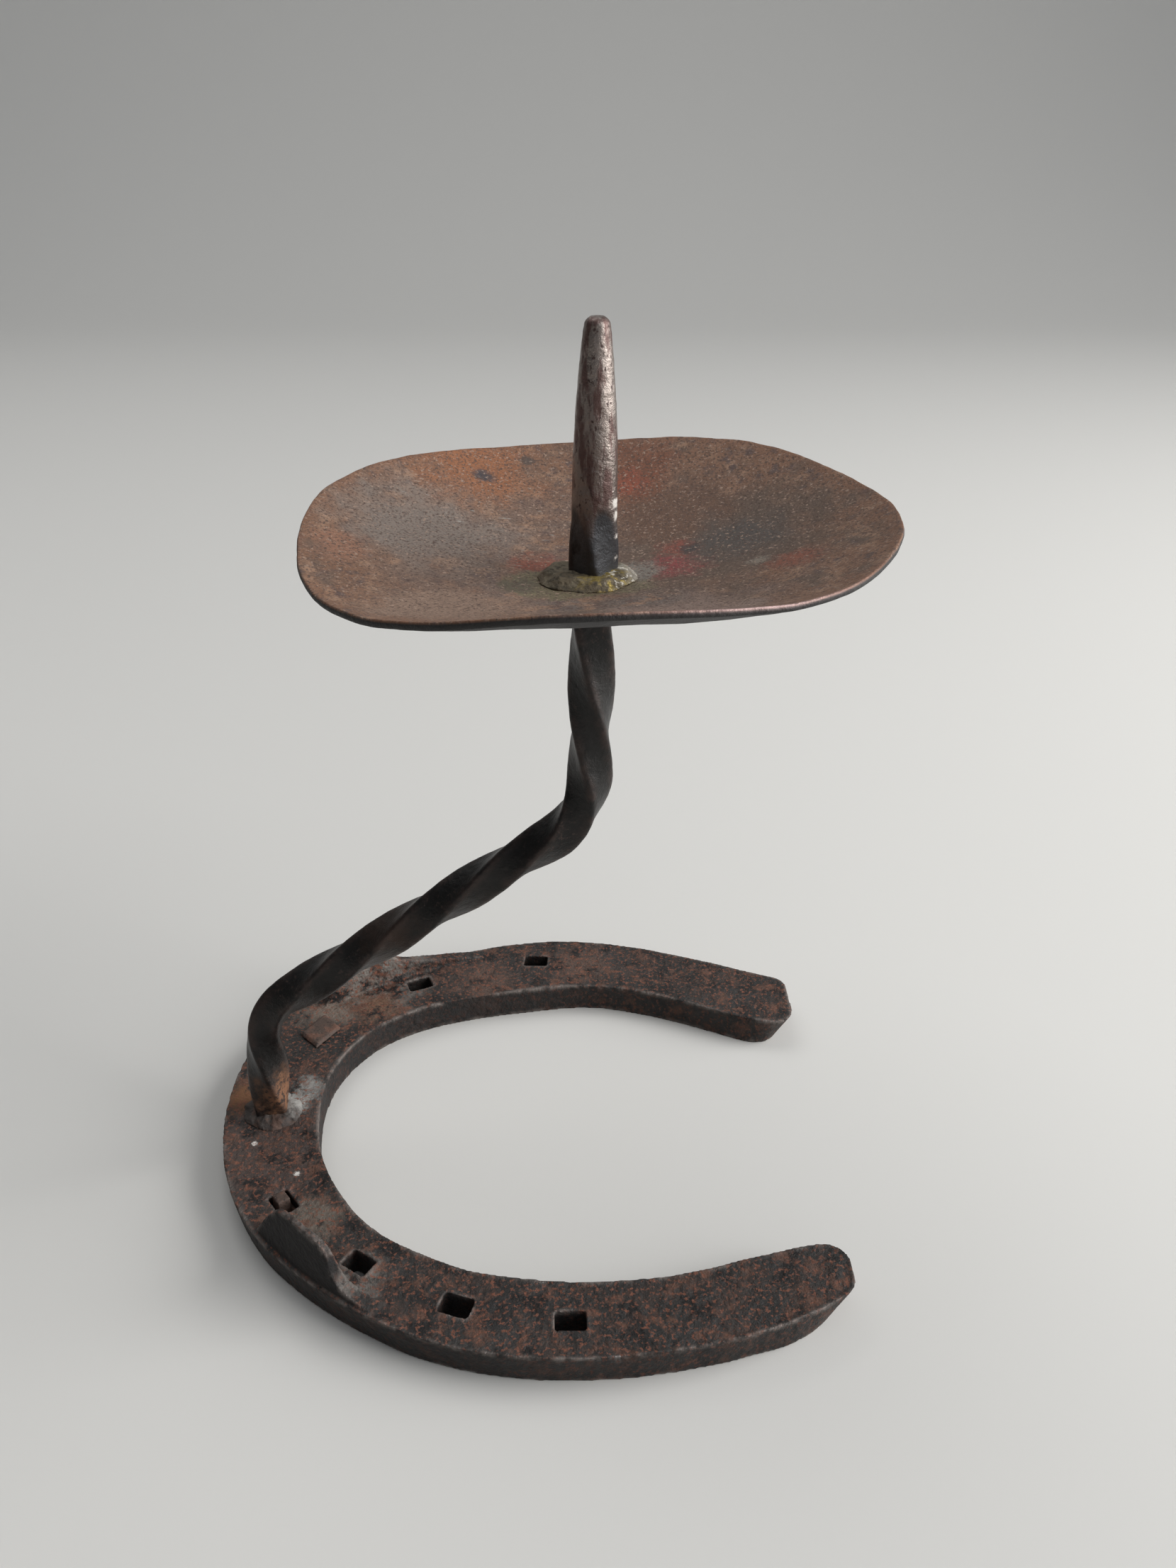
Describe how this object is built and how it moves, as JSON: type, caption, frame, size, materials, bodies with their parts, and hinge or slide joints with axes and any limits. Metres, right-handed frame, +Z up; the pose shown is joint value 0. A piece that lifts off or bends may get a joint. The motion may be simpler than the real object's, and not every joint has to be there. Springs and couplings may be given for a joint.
{
  "type": "pricket candlestick",
  "caption": "Forged pricket candlestick: a horseshoe foot, a twisted square bar bent up from the toe, and a beaten drip pan brazed round the tapered pricket.",
  "frame": {"origin": "on the supporting surface, under the middle of the whole object's box", "axes": "+Z up, horseshoe toe towards -X and heels towards +X, near branch on -Y"},
  "size_m": [0.1582, 0.1516, 0.2055],
  "materials": {
    "forged_shoe_steel": "pitted, rusted",
    "blackened_bar_steel": "hot-worked black scale, satin",
    "rusted_sheet_steel": "beaten, brown rust patina",
    "brazing_brass": "dull, oxidised",
    "weld_metal": "grey oxidised bead",
    "nail_steel": "rusted"
  },
  "bodies": {
    "root": {"horseshoe": "forged_shoe_steel", "twisted_stem": "blackened_bar_steel", "drip_pan": "rusted_sheet_steel", "pan_braze": "brazing_brass", "foot_weld": "weld_metal", "nail_stub_near": "nail_steel", "nail_stub_far": "nail_steel"}
  },
  "joints": []
}
